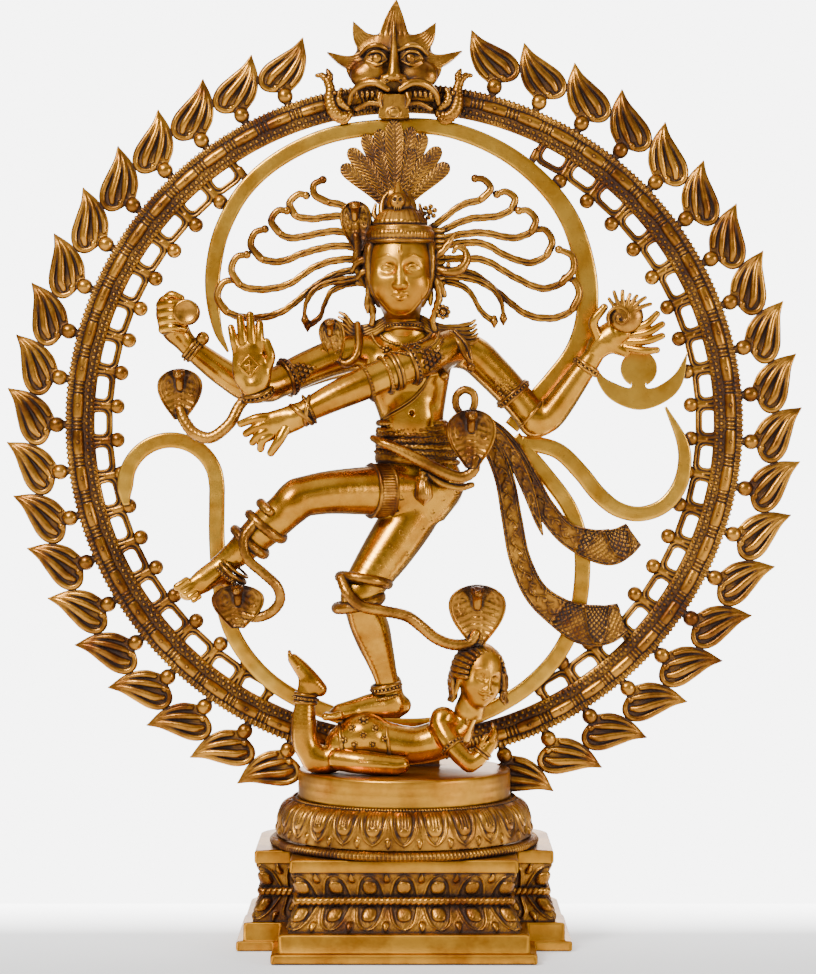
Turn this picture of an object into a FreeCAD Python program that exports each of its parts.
"""Brass Nataraja statue: a dancing figure in an Om-shaped scroll and a flame aureole.

Units are millimetres.  +Z is up, the figure faces -Y, and +X is to the right of somebody
who looks at its front.  The origin is the centre of the plinth's underside.
Each entry of PIECES becomes one STEP file in parts/.
"""
import FreeCAD, Part
import math
import os

Vector = FreeCAD.Vector

# ------------------------------------------------------------------ driving dimensions
# base, from the floor up
FOOT_TOP = 8.0            # thin spreading foot slab
LEDGE_TOP = 22.0          # plain ledge above it
BODY_TOP = 67.0           # carved plinth body
CAP_TOP = 77.0            # plain cap slab
BELL_TOP = 113.0          # lotus bell
DRUM_TOP = 136.0          # plain drum that carries the figure
DRUM_R = 83.0
BASE_HALF_DEPTH = 106.0
BOLT_R = 3.0
BOLT_CIRCLE = 58.0
WASHER_R = 7.0
WASHER_THICK = 1.6
NUT_CORNER_R = 5.8
NUT_TALL = 5.0

# aureole: a round frame that stands on the drum, behind the figure
RING_Y = 20.0
RING_Z = 405.0
RIM_IN = 244.0            # beaded rim on the inside
BARREL_IN = 251.5         # the row of barrel beads
BARREL_OUT = 261.5
RIM_OUT = 266.5           # toothed rim on the outside
RING_HALF_DEPTH = 6.5

FLAME_STEP = 7.8          # degrees between two flame leaves
FLAME_BALL_R = 5.2
FLAME_BALL_AT = 273.0     # radius of the circle of balls
FLAME_THICK = 6.0
FLAMES_LEFT = 19
FLAMES_RIGHT = 20
FIRST_FLAME_LEFT = 20.0
FIRST_FLAME_RIGHT = 15.0

LATTICE_STEP = 6.7        # degrees between two loops
LOOP_IN = 230.5
LOOP_OPEN_IN = 234.5
LOOP_OPEN = (15.0, 9.0)   # opening of a loop, along and across the ring
LATTICE_HALF = 2.0
FINIAL_AT = 226.5
FINIAL_R = 5.0

# Om scroll: flat polished band in the aureole's plane, just in front of the lattice
OM_Y = 14.5
OM_THICK = 6.0

# figure
TORSO_Y = -14.0
HAIR_R = 2.9
FAN_FRONT = -1.0          # the feather fan stands clear behind the locks of hair
FAN_BACK = 6.0


# ------------------------------------------------------------------ shape helpers
def section_place(centre, along, side):
    """Placement whose Z runs along the path and whose X lies towards side."""
    return FreeCAD.Placement(centre, FreeCAD.Rotation(side, Vector(), along, "ZXY"))


def directions(points):
    """Unit tangent of an open run of points, by central differences."""
    last = len(points) - 1
    return [(points[min(k + 1, last)] - points[max(k - 1, 0)]).normalize() for k in range(last + 1)]


def limb(stations, side=Vector(0, 1, 0)):
    """Smooth tapered limb.  A station is (x, y, z, radius) or (x, y, z, front-back, across)."""
    points = [Vector(*s[:3]) for s in stations]
    wires = []
    for station, point, along in zip(stations, points, directions(points)):
        depth = station[3]
        across = station[-1]
        ring = Part.Ellipse(Vector(), max(depth, across) + 0.001, min(depth, across))
        wire = Part.Wire(ring.toShape())
        if across > depth:
            wire.rotate(Vector(), Vector(0, 0, 1), 90)
        wire.Placement = section_place(point, along, side).multiply(wire.Placement)
        wires.append(wire)
    return Part.makeLoft(wires, True, False)


def ribbon(stations, thickness):
    """Flat band that bends in the XZ plane.  A station is (x, y, z, width)."""
    points = [Vector(*s[:3]) for s in stations]
    wires = []
    for (_, _, _, width), point, along in zip(stations, points, directions(points)):
        across = along.cross(Vector(0, 1, 0)).normalize() * (width / 2)
        back = Vector(0, thickness / 2, 0)
        corners = [point - across - back, point + across - back, point + across + back,
                   point - across + back]
        wires.append(Part.makePolygon(corners + corners[:1]))
    return Part.makeLoft(wires, True, False)


def in_plane(path, y):
    """Add the depth y to a list of (x, z, width)."""
    return [(x, y, z, width) for x, z, width in path]


def plate(runs, front, back):
    """Plate in the XZ plane.  A run is a smooth curve, and runs meet at corners."""
    edges = []
    for k, run in enumerate(runs):
        points = [Vector(x, front, z) for x, z in run + [runs[(k + 1) % len(runs)][0]]]
        if len(points) == 2:
            edges.append(Part.LineSegment(*points).toShape())
        else:
            curve = Part.BSplineCurve()
            curve.interpolate(points)
            edges.append(curve.toShape())
    return Part.Face(Part.Wire(edges)).extrude(Vector(0, back - front, 0))


def tube(points, radius):
    """Round bar along straight runs that are joined by tangent arcs."""
    points = [Vector(*p) for p in points]
    edges = []
    start = points[0]
    for before, corner, after in zip(points, points[1:], points[2:]):
        back = (before - corner).normalize()
        ahead = (after - corner).normalize()
        turn = math.pi - back.getAngle(ahead)
        if turn < 0.01:
            continue
        setback = 0.45 * min((before - corner).Length, (after - corner).Length)
        bend = setback / math.tan(turn / 2)
        inward = (back + ahead).normalize()
        middle = corner + inward * (bend / math.cos(turn / 2) - bend)
        first, second = corner + back * setback, corner + ahead * setback
        edges.append(Part.LineSegment(start, first).toShape())
        edges.append(Part.Arc(first, middle, second).toShape())
        start = second
    edges.append(Part.LineSegment(start, points[-1]).toShape())
    path = Part.Wire(edges)
    circle = Part.Wire(Part.makeCircle(radius, points[0], points[1] - points[0]))
    return path.makePipeShell([circle], True, False)


def ball(x, y, z, radius):
    return Part.makeSphere(radius, Vector(x, y, z))


def egg(x, y, z, half_x, half_y, half_z):
    """Ellipsoid."""
    matrix = FreeCAD.Matrix()
    matrix.scale(half_x, half_y, half_z)
    shape = Part.makeSphere(1.0).transformGeometry(matrix)
    shape.translate(Vector(x, y, z))
    return shape


def bar(start, end, radius, end_radius=None):
    """Straight round bar or cone between two points."""
    start, end = Vector(*start), Vector(*end)
    run = end - start
    if end_radius is None or abs(end_radius - radius) < 0.01:
        return Part.makeCylinder(radius, run.Length, start, run)
    return Part.makeCone(radius, end_radius, run.Length, start, run)


def hoop(centre, along, inner, wire):
    """Round ring about a limb of radius inner."""
    return Part.makeTorus(inner + 0.6 * wire, wire, Vector(*centre), Vector(*along))


def join(*shapes):
    """One solid out of shapes that run into each other."""
    return shapes[0].fuse(list(shapes[1:])).removeSplitter()


def gather(*shapes):
    """Separate solids that share one node."""
    return Part.makeCompound(list(shapes))


# ------------------------------------------------------------------ base
def plinth_plan(wing, front, front_y, wing_y, back_y, z):
    """Stepped plan of the plinth as a closed wire: narrow front bay and wide rear."""
    corner = 34.0
    run = [(-front, front_y), (front, front_y), (front, wing_y), (wing, wing_y),
           (wing, back_y - corner)]
    points = [Vector(x, y, z) for x, y in run]
    edges = [Part.LineSegment(a, b).toShape() for a, b in zip(points, points[1:])]
    half = corner * (1 - math.sqrt(0.5))
    right = [Vector(wing, back_y - corner, z), Vector(wing - half, back_y - half, z),
             Vector(wing - corner, back_y, z)]
    left = [Vector(-p.x, p.y, p.z) for p in reversed(right)]
    edges.append(Part.Arc(*right).toShape())
    edges.append(Part.LineSegment(right[2], left[0]).toShape())
    edges.append(Part.Arc(*left).toShape())
    tail = [left[2], Vector(-wing, wing_y, z), Vector(-front, wing_y, z), points[0]]
    edges += [Part.LineSegment(a, b).toShape() for a, b in zip(tail, tail[1:])]
    return Part.Wire(edges)


def plinth_prism(bottom, top, inset):
    """Stretch of the plinth with vertical sides, drawn in from the foot's plan by inset."""
    plan = plinth_plan(129 - inset, 100 - inset, -BASE_HALF_DEPTH + inset,
                       -48 + 0.4 * inset, BASE_HALF_DEPTH - inset, bottom)
    return Part.Face(plan).extrude(Vector(0, 0, top - bottom))


def plinth_flare(bottom, top, inset_bottom, inset_top):
    """Stretch of the plinth whose sides lean from one inset to another."""
    plans = [plinth_plan(129 - i, 100 - i, -BASE_HALF_DEPTH + i, -48 + 0.4 * i,
                         BASE_HALF_DEPTH - i, z)
             for i, z in ((inset_bottom, bottom), (inset_top, top))]
    return Part.makeLoft(plans, True, True)


def hollow(z_bottom, z_top, inset):
    """Straight-sided space inside the plinth."""
    return plinth_prism(z_bottom - 1, z_top + 1, inset)


def bolt_places():
    return [(BOLT_CIRCLE * math.cos(math.radians(a)), BOLT_CIRCLE * math.sin(math.radians(a)))
            for a in (30, 150, 270)]


def drilled(shape, z_bottom, z_top):
    """Shape with the three clearance holes for the tie bolts."""
    for x, y in bolt_places():
        shape = shape.cut(Part.makeCylinder(BOLT_R + 0.3, z_top - z_bottom + 2,
                                            Vector(x, y, z_bottom - 1)))
    return shape


def base_pieces():
    foot = plinth_prism(0, FOOT_TOP, 0).fuse(plinth_prism(FOOT_TOP, LEDGE_TOP, 5.5))
    foot = foot.removeSplitter().cut(hollow(0, LEDGE_TOP, 26))
    body = join(plinth_flare(LEDGE_TOP, 33, 12.5, 21), plinth_prism(33, 56, 21),
                plinth_flare(56, BODY_TOP, 21, 16))
    body = join(body, plinth_prism(42, 49, 18)).cut(hollow(LEDGE_TOP, BODY_TOP, 28))
    cap = drilled(plinth_prism(BODY_TOP, CAP_TOP, 14), BODY_TOP, CAP_TOP)

    profile = [(0, CAP_TOP), (105, CAP_TOP), (105, CAP_TOP + 6), (101, CAP_TOP + 8)]
    edges = [Part.LineSegment(Vector(a[0], 0, a[1]), Vector(b[0], 0, b[1])).toShape()
             for a, b in zip(profile, profile[1:])]
    edges.append(Part.Arc(Vector(101, 0, CAP_TOP + 8), Vector(94, 0, 102),
                          Vector(84, 0, BELL_TOP)).toShape())
    edges.append(Part.LineSegment(Vector(84, 0, BELL_TOP), Vector(0, 0, BELL_TOP)).toShape())
    edges.append(Part.LineSegment(Vector(0, 0, BELL_TOP), Vector(0, 0, CAP_TOP)).toShape())
    bell = Part.Face(Part.Wire(edges)).revolve(Vector(), Vector(0, 0, 1), 360)
    well = Part.makeCone(94, 76, BELL_TOP - CAP_TOP + 2, Vector(0, 0, CAP_TOP - 1))
    bell = bell.cut(well)

    drum = Part.makeCylinder(DRUM_R, DRUM_TOP - BELL_TOP, Vector(0, 0, BELL_TOP))
    drum = drum.cut(Part.makeCylinder(74, 15, Vector(0, 0, BELL_TOP - 1)))
    drum = drilled(drum, BELL_TOP, DRUM_TOP - 1.0)

    bolts, nuts, washers = [], [], []
    bolt_low = BODY_TOP - 12.0
    washer_low = BODY_TOP - WASHER_THICK
    nut_low = washer_low - NUT_TALL
    for x, y in bolt_places():
        bolt = Part.makeCylinder(BOLT_R, DRUM_TOP - 3 - bolt_low, Vector(x, y, bolt_low))
        bolts.append(bolt)
        washer = Part.makeCylinder(WASHER_R, WASHER_THICK, Vector(x, y, washer_low))
        washers.append(washer.cut(bolt))
        corners = [Vector(x + NUT_CORNER_R * math.cos(k * math.pi / 3),
                          y + NUT_CORNER_R * math.sin(k * math.pi / 3), nut_low) for k in range(7)]
        nut = Part.Face(Part.makePolygon(corners)).extrude(Vector(0, 0, NUT_TALL))
        nuts.append(nut.cut(bolt))
    drum = drum.cut(gather(*bolts))
    return [("plinth_foot", foot), ("plinth_body", body), ("plinth_cap", cap),
            ("lotus_bell", bell), ("drum_seat", drum), ("base_tie_bolts", gather(*bolts)),
            ("base_tie_nuts", gather(*nuts)), ("base_tie_washers", gather(*washers))]


# ------------------------------------------------------------------ aureole
def on_ring(radius, degrees, y=RING_Y):
    """Point of the aureole, in degrees clockwise from its top."""
    angle = math.radians(degrees)
    return Vector(radius * math.sin(angle), y, RING_Z + radius * math.cos(angle))


def ring_sector(outline, first, last):
    """Revolve an outline of (radius, depth) about the aureole's axis."""
    points = [Vector(0, RING_Y + y, RING_Z + r) for r, y in outline]
    face = Part.Face(Part.makePolygon(points + points[:1]))
    face.rotate(Vector(0, RING_Y, RING_Z), Vector(0, 1, 0), first)
    return face.revolve(Vector(0, RING_Y, RING_Z), Vector(0, 1, 0), last - first)


def aureole_half(first, last):
    d = RING_HALF_DEPTH
    outline = [(RIM_IN, -d + 2), (BARREL_IN, -d + 2), (BARREL_IN + 2, -d - 1),
               (BARREL_OUT - 2, -d - 1), (BARREL_OUT, -d + 2.5), (RIM_OUT, -d + 2.5),
               (RIM_OUT, d - 2.5), (BARREL_OUT, d - 2.5), (BARREL_OUT - 2, d),
               (BARREL_IN + 2, d), (BARREL_IN, d - 2), (RIM_IN, d - 2)]
    return ring_sector(outline, first, last)


def flame(degrees, lean):
    """Leaf on a ball; lean is +1 where its tip points clockwise and -1 otherwise."""
    y0, y1 = RING_Y - FLAME_THICK / 2, RING_Y + FLAME_THICK / 2
    under = [(3, 4), (10, 10), (20, 22)]
    tip = [(29, 39.5), (14, 31), (-3, 27)]
    lobe = [(-14, 25), (-17, 17), (-12, 8)]
    leaf = plate([[(lean * t, r) for t, r in under], [(lean * t, r) for t, r in tip + lobe]],
                 y0, y1)
    stem = bar((0, RING_Y, -8), (0, RING_Y, 6), 2.6)
    piece = join(leaf, stem, ball(0, RING_Y, 0, FLAME_BALL_R))
    piece.rotate(Vector(0, RING_Y, 0), Vector(0, 1, 0), degrees)
    piece.translate(on_ring(FLAME_BALL_AT, degrees, 0))
    if degrees > 150:
        drum = Part.makeCylinder(DRUM_R + 0.3, DRUM_TOP)
        piece = max(piece.cut(drum).Solids, key=lambda solid: solid.Volume)
    return piece


def lattice(first, count, sign):
    """Chain of rounded loops with a ball under each joint between two loops."""
    start, end = sign * first, sign * (first + count * LATTICE_STEP)
    low, high = min(start, end), max(start, end)
    web = ring_sector([(LOOP_IN, -LATTICE_HALF), (RIM_IN, -LATTICE_HALF),
                       (RIM_IN, LATTICE_HALF), (LOOP_IN, LATTICE_HALF)], low, high)
    bead = Part.makeSphere(FINIAL_R)
    bead.rotate(Vector(), Vector(1, 0, 0), 90)
    bead.rotate(Vector(), Vector(0, 1, 0), 90)
    openings, balls = [], []
    for k in range(count):
        middle = sign * (first + (k + 0.5) * LATTICE_STEP)
        hole = Part.makeBox(LOOP_OPEN[0], 12, LOOP_OPEN[1],
                            Vector(-LOOP_OPEN[0] / 2, -6, LOOP_OPEN_IN))
        hole = hole.makeFillet(3.5, [e for e in hole.Edges
                                     if abs(e.Vertexes[0].Y - e.Vertexes[1].Y) > 1])
        hole.rotate(Vector(), Vector(0, 1, 0), middle)
        hole.translate(Vector(0, RING_Y, RING_Z))
        openings.append(hole)
        if k:
            degrees = sign * (first + k * LATTICE_STEP)
            finial = bead.copy()
            finial.rotate(Vector(), Vector(0, 1, 0), degrees)
            finial.translate(on_ring(FINIAL_AT, degrees))
            balls.append(finial)
    return web.cut(openings).fuse(balls)


def mask_pieces():
    """Lion-like face at the top, with its crest of spikes, and the scrolls beside it."""
    front, back = 8.0, 26.0
    crest = [[(-57, 698), (-44, 700)], [(-38, 706)], [(-37, 718), (-27, 714)], [(-18, 706)],
             [(-6, 736), (0, 716)], [(6, 706)], [(22, 717), (18, 706)], [(20, 700)],
             [(41, 699), (30, 690)], [(20, 682), (14, 668)], [(6, 662), (-6, 648), (-20, 662)],
             [(-30, 668), (-37, 682)], [(-40, 690)]]
    mask = plate(crest, front, back)
    mask = join(mask, egg(-8, front, 684, 25, 7, 17), ball(-19, front - 4, 690, 6),
                ball(3, front - 4, 690, 6))
    scrolls = []
    for side, x in ((-1, -8), (1, -8)):
        path = [(x + side * 38, 13, 652), (x + side * 49, 12, 660), (x + side * 53, 12, 672),
                (x + side * 48, 12, 684)]
        scrolls.append(tube(path, 5.0))
    return [("kirtimukha_mask", mask), ("makara_scrolls", gather(*scrolls))]


def aureole_pieces():
    """The ring's two halves meet under the mask and on the foot block."""
    left = aureole_half(-180, 0)
    right = aureole_half(0, 180)
    foot = Part.makeBox(56, 18, 34, Vector(-28, RING_Y - 9, DRUM_TOP))
    screws = []
    for x in (-18, 18):
        thread = bar((x, RING_Y, DRUM_TOP - 6), (x, RING_Y, DRUM_TOP + 12), 2.5)
        screws.append(join(thread, bar((x, RING_Y, DRUM_TOP - 10), (x, RING_Y, DRUM_TOP - 6), 4.5)))
    flames_left = [flame(-(FIRST_FLAME_LEFT + k * FLAME_STEP), 1) for k in range(FLAMES_LEFT)]
    flames_right = [flame(FIRST_FLAME_RIGHT + k * FLAME_STEP, -1) for k in range(FLAMES_RIGHT)]
    return [("aureole_left", left), ("aureole_right", right),
            ("aureole_foot", foot.cut([left, right, *screws])),
            ("aureole_screws", gather(*screws)),
            ("flames_left", gather(*flames_left)), ("flames_right", gather(*flames_right)),
            ("lattice_left", lattice(33.0, 18, -1)), ("lattice_right", lattice(26.0, 19, 1))]


# ------------------------------------------------------------------ Om scroll
def arc_path(x, z, radius, first, last, steps, width):
    """Stations of a round stretch of band, in degrees clockwise from the top."""
    stations = []
    for k in range(steps + 1):
        angle = math.radians(first + (last - first) * k / steps)
        stations.append((x + radius * math.sin(angle), z + radius * math.cos(angle), width))
    return stations


def om_pieces():
    upper = [(-138, 461, 2), (-146, 478, 7), (-150, 504, 11), (-149, 530, 12.5),
             (-142, 558, 12.5), (-125, 588, 12.5), (-98, 612, 12.5), (-60, 630, 12.5),
             (-15, 637, 12.5), (30, 636, 12.5), (72, 621, 13), (106, 596, 14),
             (130, 564, 15.5), (142, 525, 17), (143, 490, 17), (134, 462, 16),
             (116, 439, 14), (97, 418, 13), (84, 402, 12)]
    lower = [(86, 394, 12), (110, 366, 12.5), (129, 340, 12.5), (138, 314, 12.5),
             (140, 289, 12.5), (136, 257, 12.5), (125, 230, 12.5), (108, 208, 12.5),
             (84, 189, 12.5), (50, 173, 12.5), (10, 167, 12.5), (-30, 170, 12.5),
             (-62, 179, 12.5), (-95, 195, 12.5), (-119, 216, 12.5), (-136, 243, 12.5),
             (-144, 275, 12.5), (-147, 312, 12.5), (-147, 345, 12.5)]
    hook = arc_path(-183, 356, 36, 90, -90, 8, 12.5) + [(-218, 346, 5)]
    tail = [(92, 389, 13), (107, 388, 13), (123, 382, 13), (139, 366, 13), (152, 350, 13),
            (167, 338, 12.5), (185, 334, 12), (203, 340, 12), (215, 354, 12), (220, 372, 11),
            (218, 391, 9), (205, 418, 2)]
    crescent = [(149, 450, 2), (155, 438, 8), (167, 428, 14), (184, 423, 16), (202, 427, 14),
                (214, 438, 8), (222, 460, 2)]
    dot = bar((183, OM_Y - OM_THICK / 2, 447), (183, OM_Y + OM_THICK / 2, 447), 15.0)
    neck = Part.makeBox(8, OM_THICK, 12, Vector(179, OM_Y - OM_THICK / 2, 425))
    moon = join(ribbon(in_plane(crescent, OM_Y), OM_THICK), neck, dot)
    return [("om_upper_bowl", ribbon(in_plane(upper, OM_Y), OM_THICK)),
            ("om_lower_bowl", ribbon(in_plane(lower + hook, OM_Y), OM_THICK)),
            ("om_tail", ribbon(in_plane(tail, OM_Y), OM_THICK)),
            ("crescent_and_dot", moon)]


# ------------------------------------------------------------------ figure: trunk and head
def trunk_pieces():
    y = TORSO_Y
    torso = limb([(14, y, 330, 14, 18), (15, y, 345, 19, 27), (15, y, 358, 21, 31),
                  (9, y, 380, 19, 28), (6, y, 408, 17, 25.5), (3, y, 434, 20, 33),
                  (1, y - 1, 452, 20, 37), (0, y, 464, 16, 37), (0, y, 473, 12, 22),
                  (0, y - 2, 479, 11, 14)])
    neck = limb([(0, y - 2, 476, 12, 14), (0, y - 4, 484, 11.5, 12.5), (-2, y - 7, 500, 12, 13)])
    head = join(egg(-3, -24, 521, 23, 22, 30), neck)
    crown = join(Part.makeCone(27, 24, 8, Vector(-3, -19, 544)),
                 Part.makeCone(24, 19, 8, Vector(-3, -19, 552)),
                 Part.makeCone(15, 12, 9, Vector(-3, -18, 560)), ball(-6, -20, 577, 8.5))
    return [("torso", torso), ("head", head), ("crown", crown)]


def fan_pieces():
    """Fan of feathers that stands behind the crown."""
    middle = (FAN_FRONT + FAN_BACK) / 2
    root = Vector(-7, middle, 570)
    tips = [(-50, 604, 9), (-43, 621, 9), (-28, 633, 10), (-9, 641, 11), (11, 636, 10),
            (24, 624, 9), (34, 608, 9)]
    feathers = []
    for x, z, width in tips:
        reach = Vector(x, middle, z) - root
        across = reach.cross(Vector(0, 1, 0)).normalize()
        outline = [root - across * 2.5, root + reach * 0.75 - across * width,
                   root + reach, root + reach * 0.75 + across * width, root + across * 2.5]
        points = [Vector(p.x, FAN_FRONT, p.z) for p in outline]
        curve = Part.BSplineCurve()
        curve.interpolate(points)
        edges = [curve.toShape(), Part.LineSegment(points[-1], points[0]).toShape()]
        feathers.append(Part.Face(Part.Wire(edges)).extrude(Vector(0, FAN_BACK - FAN_FRONT, 0)))
    post = bar((-7, middle, 550), (-7, middle, 590), (FAN_BACK - FAN_FRONT) / 2 - 0.1)
    strut = bar((-7, middle, 630), (-7, OM_Y - OM_THICK / 2, 636), 3)
    return [("feather_fan", join(post, strut, *feathers))]


def hair_pieces():
    """Streaming locks: each starts behind the head and ends in a small curl."""
    left = [[(-30, 563), (-48, 578), (-64, 578), (-70, 586), (-62, 593)],
            [(-30, 554), (-50, 568), (-75, 566), (-87, 569), (-88, 579), (-76, 583)],
            [(-30, 549), (-50, 556), (-85, 551), (-98, 555), (-102, 565), (-91, 572)],
            [(-30, 541), (-50, 545), (-76, 540), (-95, 533), (-110, 535), (-118, 547),
             (-107, 559)],
            [(-30, 534), (-50, 534), (-70, 528), (-90, 515), (-110, 510), (-128, 514),
             (-132, 528), (-121, 536)],
            [(-30, 527), (-50, 524), (-70, 513), (-95, 494), (-118, 488), (-138, 493),
             (-143, 507), (-130, 516)],
            [(-30, 520), (-50, 516), (-68, 508), (-74, 495), (-72, 483)]]
    right = [[(25, 558), (40, 573), (58, 580), (65, 586), (60, 596)],
             [(25, 552), (48, 563), (70, 565), (82, 572), (80, 583), (68, 583)],
             [(25, 547), (60, 554), (84, 550), (97, 555), (97, 568), (85, 572)],
             [(25, 541), (60, 546), (80, 536), (97, 531), (108, 536), (110, 550), (100, 557)],
             [(25, 534), (46, 535), (64, 533), (85, 521), (105, 511), (121, 516), (128, 532),
              (117, 540)],
             [(25, 527), (36, 526), (54, 523), (74, 508), (95, 492), (114, 489), (129, 495),
              (132, 510), (124, 518)],
             [(25, 520), (38, 518), (55, 518), (68, 510), (72, 495), (72, 487)]]

    def locks(paths):
        bars = []
        for k, path in enumerate(paths):
            y = -9 + 3.2 * (k % 2)
            bars.append(tube([(x, y, z) for x, z in path], HAIR_R))
        return bars

    def tie(sign, x):
        """Band across the roots, which holds the locks of one side together."""
        return plate([[(x, 515)], [(x + sign * 10, 516)], [(x + sign * 10, 566)], [(x, 562)]],
                     -12.5, -2.5)
    return [("hair_left", join(tie(-1, -24), *locks(left))),
            ("hair_right", join(tie(1, 18), *locks(right)))]


def ear_and_neck_pieces():
    ears = [egg(34, -22, 535, 7, 5, 12), bar((30, -25, 491), (30, -20, 491), 7),
            bar((30, -22, 498), (32, -22, 524), 2.5), egg(-29, -22, 502, 5, 4, 12)]
    cobra = join(plate([[(-34, 540), (-28, 556), (-30, 570)], [(-38, 578), (-48, 570),
                                                              (-47, 556), (-40, 540)]], -20, -14),
                 tube([(-37, -17, 560), (-37, -17, 540), (-33, -15, 520)], 3.5))
    strands = []
    for half_width, drop, radius in ((17, 4, 2.0), (25, 11, 2.4)):
        ring = Part.makeTorus(half_width, radius, Vector(0, -14, 474 - drop * 0.3),
                              Vector(0, -drop / 26, 1))
        strands.append(ring)
    pendant = bar((2, -38, 452), (2, -30, 456), 6)
    return [("ear_ornaments", gather(*ears)), ("head_cobra", cobra),
            ("necklace", gather(*strands, pendant))]


# ------------------------------------------------------------------ figure: arms
def fingers(roots, tips, radius):
    return [bar(a, b, radius, radius * 0.7) for a, b in zip(roots, tips)]


def arm_pieces():
    abhaya = limb([(-30, -17, 458, 14), (-50, -20, 457, 14), (-78, -30, 446, 12.5),
                   (-100, -42, 436, 12), (-112, -52, 432, 9.5)])
    palm = limb([(-113, -54, 428, 7, 10), (-115, -57, 440, 6, 13), (-117, -57, 455, 5, 14),
                 (-117, -56, 464, 4.5, 13)])
    open_hand = join(palm, *fingers([(x, -57, 460) for x in (-127, -120.5, -114, -108)],
                                    [(-130, -56, 478), (-122, -56, 483), (-114, -56, 483),
                                     (-107, -57, 476)], 3.6),
                     bar((-104, -58, 446), (-98, -60, 462), 4.2, 3))
    drum_arm = limb([(-30, -2, 456, 13), (-60, 0, 450, 13), (-100, 2, 436, 12),
                     (-118, 1, 432, 11), (-140, -2, 444, 10.5), (-170, -6, 466, 8)])
    fist = join(egg(-178, -8, 478, 12, 9, 11),
                *fingers([(-186 + 3 * k, -15, 474 + 5 * k) for k in range(4)],
                         [(-169 + 2 * k, -18, 476 + 5 * k) for k in range(4)], 3.4),
                bar((-186, -8, 484), (-190, -10, 504), 3.6, 2.6))
    damaru = join(Part.makeCone(10, 4.5, 11, Vector(-168, -22, 490), Vector(0, 1, 0)),
                  Part.makeCone(4.5, 10, 11, Vector(-168, -11, 490), Vector(0, 1, 0)))
    gaja = limb([(38, -20, 462, 14), (22, -36, 456, 14), (2, -46, 448, 13.5),
                 (-30, -54, 437, 12), (-55, -58, 424, 10.5), (-76, -60, 412, 8.5)])
    gaja_palm = limb([(-76, -60, 412, 8, 7.5), (-90, -61, 407, 7, 9), (-102, -61, 404, 5.5, 9)])
    gaja_hand = join(gaja_palm, *fingers([(-98, -62 + k % 2, 411 - 4.6 * k) for k in range(4)],
                                         [(-124 + 2 * k, -61, 409 - 6 * k) for k in range(4)],
                                         3.3),
                     bar((-90, -62, 402), (-106, -64, 388), 3.8, 2.8))
    fire_arm = limb([(30, -2, 460, 13), (54, 0, 458, 14), (84, 3, 430, 13), (104, 4, 408, 12),
                     (114, 3, 409, 11.5), (132, 0, 434, 10), (148, -2, 458, 8)])
    fire_palm = limb([(148, -2, 461, 8, 8), (153, -4, 468, 8.5, 9.5), (160, -6, 475, 7.5, 10),
                      (167, -8, 479, 5.5, 8)])
    fire_hand = join(fire_palm,
                     *fingers([(160, -8 + 2 * k, 470 + 3 * k) for k in range(4)],
                              [(194 - 4 * k, -10 + k, 461 + 12 * k) for k in range(4)], 3.3),
                     bar((148, -6, 474), (141, -8, 490), 3.6, 2.6))
    flame_bowl = join(egg(170, -12, 490, 15, 6, 15), bar((166, -9, 476), (168, -11, 486), 5))
    return [("open_hand", open_hand), ("front_left_arm", abhaya), ("drum_arm", drum_arm),
            ("damaru", damaru), ("drum_hand", fist), ("hanging_hand", gaja_hand),
            ("crossing_arm", gaja), ("flame_bowl", flame_bowl), ("flame_hand", fire_hand),
            ("flame_arm", fire_arm)]


def ornament_pieces():
    """Rings on the limbs, then the belt and its tassel."""
    armlets = [hoop((-86, -35, 442), (-24, -10, -11), 12.8, 2.2),
               hoop((-92, -38, 439), (-24, -10, -11), 12.6, 2.2),
               hoop((-92, 2, 440), (-30, 1, -9), 12.2, 2.2),
               hoop((6, -44, 450), (-20, -8, -8), 13.8, 2.2),
               hoop((-6, -48, 445), (-25, -8, -9), 13.3, 2.2),
               hoop((-14, -50, 442), (-25, -8, -9), 13.0, 2.0),
               hoop((-28, -54, 436), (-25, -6, -9), 12.3, 2.0),
               hoop((82, 3, 431), (20, 2, -24), 13.2, 2.2),
               hoop((88, 3, 425), (20, 2, -24), 13.0, 2.2),
               hoop((99, 4, 412), (16, 0, -14), 12.4, 2.0)]
    bracelets = [hoop((-111, -53, 428), (-3, -4, 10), 10.6, 2.4),
                 hoop((-162, -5, 460), (-30, -4, 22), 8.8, 2.4),
                 hoop((-68, -59, 417), (-22, -2, -12), 9.2, 2.4),
                 hoop((141, -1, 447), (16, -2, 24), 8.9, 2.4)]
    belts = [limb([(9, TORSO_Y, 374, 22, 31), (8, TORSO_Y, 384, 21, 30)]),
             limb([(7.5, TORSO_Y, 386, 20, 29), (6.5, TORSO_Y, 393, 19.5, 28)]),
             limb([(6, TORSO_Y, 396, 19.5, 28), (6, TORSO_Y, 402, 19.5, 27.5)])]
    tassel = join(bar((15, -40, 352), (15, -37, 374), 5.5, 4), ball(15, -39, 346, 6.5))
    anklets = [hoop((-131, -58, 292), (-20, 2, -24), 12.6, 2.2),
               hoop((-15, -23, 203), (8, 4, -30), 10.2, 2.3),
               hoop((-16, -22, 196), (8, 4, -30), 10.4, 2.3)]
    thigh_band = limb([(-12, -26, 353, 20, 20), (-26, -33, 353, 19.5, 19.5)],
                      Vector(0, 0, 1))
    return [("armlets", gather(*armlets)), ("bracelets", gather(*bracelets)),
            ("waist_belts", gather(*belts, tassel)), ("anklets", gather(*anklets)),
            ("thigh_band", thigh_band)]


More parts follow.
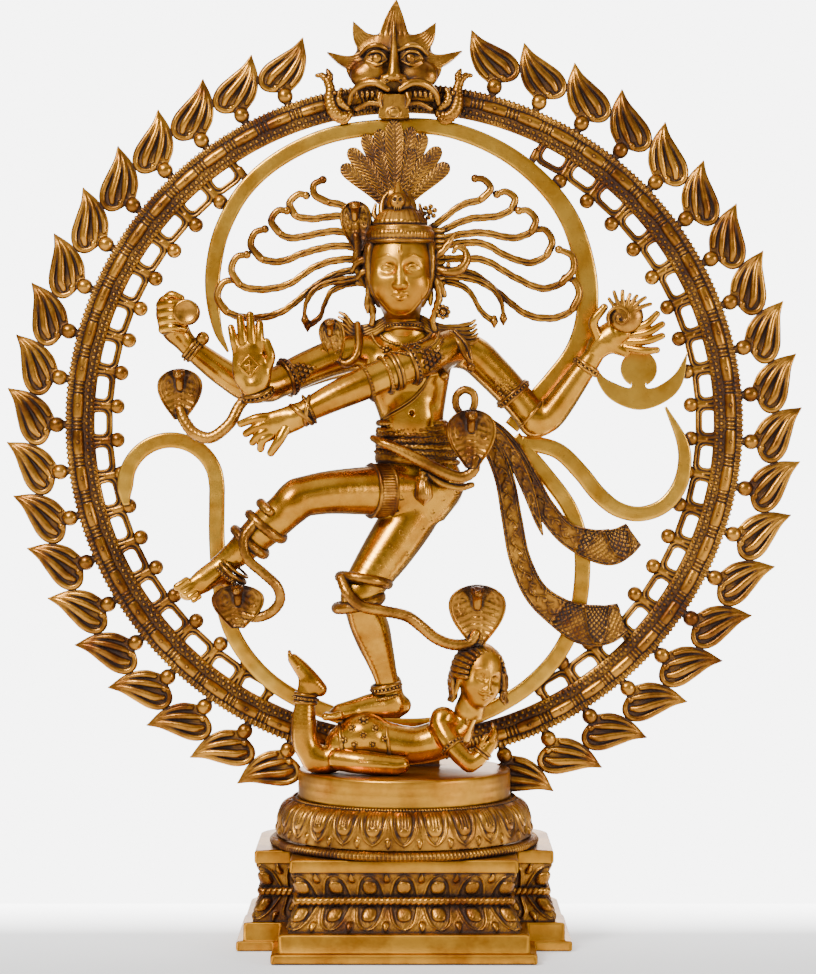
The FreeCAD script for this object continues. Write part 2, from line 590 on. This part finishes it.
# ------------------------------------------------------------------ figure: legs
def leg_pieces():
    raised = limb([(18, -16, 352, 19), (0, -22, 352, 19.5), (-30, -36, 352, 18.5),
                   (-62, -50, 351, 16.5), (-84, -59, 345, 15), (-100, -60, 332, 13.5),
                   (-122, -58, 312, 12.5), (-138, -56, 299, 9), (-147, -58, 291, 9, 10),
                   (-158, -62, 283, 7, 9.5), (-169, -66, 276, 5, 10)])
    standing = limb([(8, -16, 340, 19), (-2, -20, 326, 21), (-20, -30, 300, 18.5),
                     (-34, -38, 276, 15.5), (-31, -35, 252, 14.5), (-22, -27, 224, 12),
                     (-14, -21, 200, 9.5), (-11, -19, 190, 10)])
    standing_foot = limb([(0, -16, 186, 8, 9), (-14, -21, 187, 8, 9), (-32, -29, 186, 5.5, 10),
                          (-52, -37, 184, 3.5, 11), (-61, -40, 183, 2.5, 9)])
    return [("raised_leg", raised),
            ("standing_leg", join(standing, standing_foot))]


# ------------------------------------------------------------------ snakes and sashes
def hood(x, y, z, half_width, height, thick=8.0):
    """Spread cobra hood with a small head at its top."""
    w, h = half_width, height
    outline = [[(x - 0.25 * w, z), (x - 0.8 * w, z + 0.3 * h), (x - w, z + 0.62 * h),
                (x - 0.6 * w, z + 0.95 * h), (x, z + h), (x + 0.6 * w, z + 0.95 * h),
                (x + w, z + 0.62 * h), (x + 0.8 * w, z + 0.3 * h)], [(x + 0.25 * w, z)]]
    return join(plate(outline, y, y + thick), egg(x, y - 1, z + 0.75 * h, 6, 7, 9))


def snake_pieces():
    arm_snake = join(tube([(-116, -44, 428), (-126, -50, 420), (-133, -54, 405),
                           (-148, -56, 393), (-162, -54, 399), (-168, -52, 412)], 4.2),
                     hood(-171, -54, 408, 17.5, 38))
    shoulder = join(hood(-50, -36, 452, 9.5, 34, 6), tube([(-50, -33, 456), (-46, -30, 470),
                                                          (-36, -27, 476)], 3.5))
    waist = join(tube([(-20, -44, 388), (0, -47, 382), (24, -47, 370), (42, -46, 362),
                       (52, -46, 372)], 4.2),
                 hood(52, -49, 372, 19, 46), hoop((47, -42, 424), (0, 1, 0), 6, 2.8))
    shin = join(hoop((-104, -59, 328), (-22, 2, -20), 14.0, 3.6),
                hoop((-116, -58, 317), (-22, 2, -20), 13.2, 3.6),
                tube([(-102, -75, 332), (-116, -75, 314), (-108, -77, 292), (-97, -72, 276),
                      (-104, -66, 264), (-116, -64, 262)], 3.8),
                hood(-126, -67, 252, 21, 30))
    knee = join(hoop((-33, -37, 286), (-6, -3, -24), 16.5, 3.8),
                hoop((-33, -37, 268), (3, 3, -24), 15.5, 3.8),
                tube([(-40, -55, 290), (-32, -56, 268), (-16, -52, 258), (2, -50, 258),
                      (20, -48, 246), (36, -46, 236), (52, -46, 240)], 4.2),
                hood(56, -49, 236, 22, 46))
    return [("arm_snake", arm_snake), ("shoulder_cobra", shoulder), ("waist_snake", waist),
            ("shin_snake", shin), ("knee_snake", knee)]


def sash_pieces():
    """Two scarf ends that stream from the hip to the lattice."""
    upper = ribbon([(44, -6, 404, 12), (66, -4, 402, 14), (84, -1, 385, 15), (98, 1, 361, 15),
                    (112, 3, 336, 16), (128, 6, 318, 18), (150, 11, 309, 24),
                    (176, 15.5, 303, 31)], 4)
    lower = ribbon([(40, -10, 396, 12), (62, -9, 392, 14), (78, -7, 368, 15),
                    (83, -6, 332, 16), (89, -4, 300, 17), (101, -2, 274, 19),
                    (126, 4, 254, 26), (168, 15, 245, 36)], 4)
    return [("sash_upper", upper), ("sash_lower", lower)]


# ------------------------------------------------------------------ dwarf under the foot
def dwarf_pieces():
    y = -34.0
    body = limb([(-44, y, 158, 16, 19), (-30, y, 162, 17, 21), (-8, y, 159, 16, 18),
                 (14, y, 158, 15, 16), (34, y, 163, 15, 16), (46, y, 170, 11, 11)])
    head = join(egg(58, y - 6, 212, 16, 16, 20), bar((44, y, 170), (55, y - 4, 200), 9, 8))
    near_arm = join(limb([(26, y - 12, 170, 8), (36, y - 18, 158, 7), (48, y - 22, 149, 6)]),
                    limb([(48, y - 22, 149, 6), (58, y - 22, 153, 5.5), (66, y - 20, 160, 5)]))
    lower_leg = limb([(-60, y - 4, 146, 9.5), (-71, y - 4, 152, 10), (-76, y - 4, 172, 9.5),
                      (-76, y - 4, 196, 7), (-75, y - 4, 208, 7)])
    foot = limb([(-66, y - 4, 204, 6), (-73, y - 4, 211, 6.5), (-84, y - 4, 226, 3.5)])
    far_leg = limb([(-44, y - 16, 147, 9), (-24, y - 19, 145, 8.5), (-6, y - 20, 144, 7)])
    return [("dwarf_body", join(body, near_arm)), ("dwarf_head", head),
            ("dwarf_raised_leg", join(lower_leg, foot)), ("dwarf_folded_leg", far_leg)]


# ------------------------------------------------------------------ assembly
SLIVER = 30.0             # mm3: smaller scraps left by a cut are dropped


def reach(shape):
    """Corners of a box about the shape, from a coarse mesh of it."""
    points = shape.tessellate(0.5)[0]
    return [(min(p[k] for p in points), max(p[k] for p in points)) for k in range(3)]


def meets(one, other):
    """Whether two such boxes meet."""
    return all(a[0] < b[1] + 0.5 and b[0] < a[1] + 0.5 for a, b in zip(one, other))


def fitted(pieces):
    """Cut every solid where an earlier piece already fills the space."""
    filled, done = [], []
    for name, shape in pieces:
        kept = []
        for solid in shape.Solids:
            box = reach(solid)
            for other, span in filled:
                if meets(box, span):
                    solid = solid.cut(other)
            kept += [s for s in solid.Solids if s.isValid() and s.Volume > SLIVER]
        filled += [(solid, reach(solid)) for solid in kept]
        done.append((name, kept[0] if len(kept) == 1 else Part.makeCompound(kept)))
    return done


def main():
    os.makedirs("parts", exist_ok=True)
    order = (aureole_pieces() + base_pieces() + mask_pieces() + om_pieces() + trunk_pieces()
             + fan_pieces() + hair_pieces() + ear_and_neck_pieces() + leg_pieces()
             + arm_pieces() + ornament_pieces() + snake_pieces() + sash_pieces()
             + dwarf_pieces())
    for name, shape in fitted(order):
        volume = shape.Volume / 1000
        print(f"{name:18s} solids {len(shape.Solids):3d}  {volume:8.1f} cm3  {shape.isValid()}",
              flush=True)
        shape.exportStep(f"parts/{name}.step")


main()
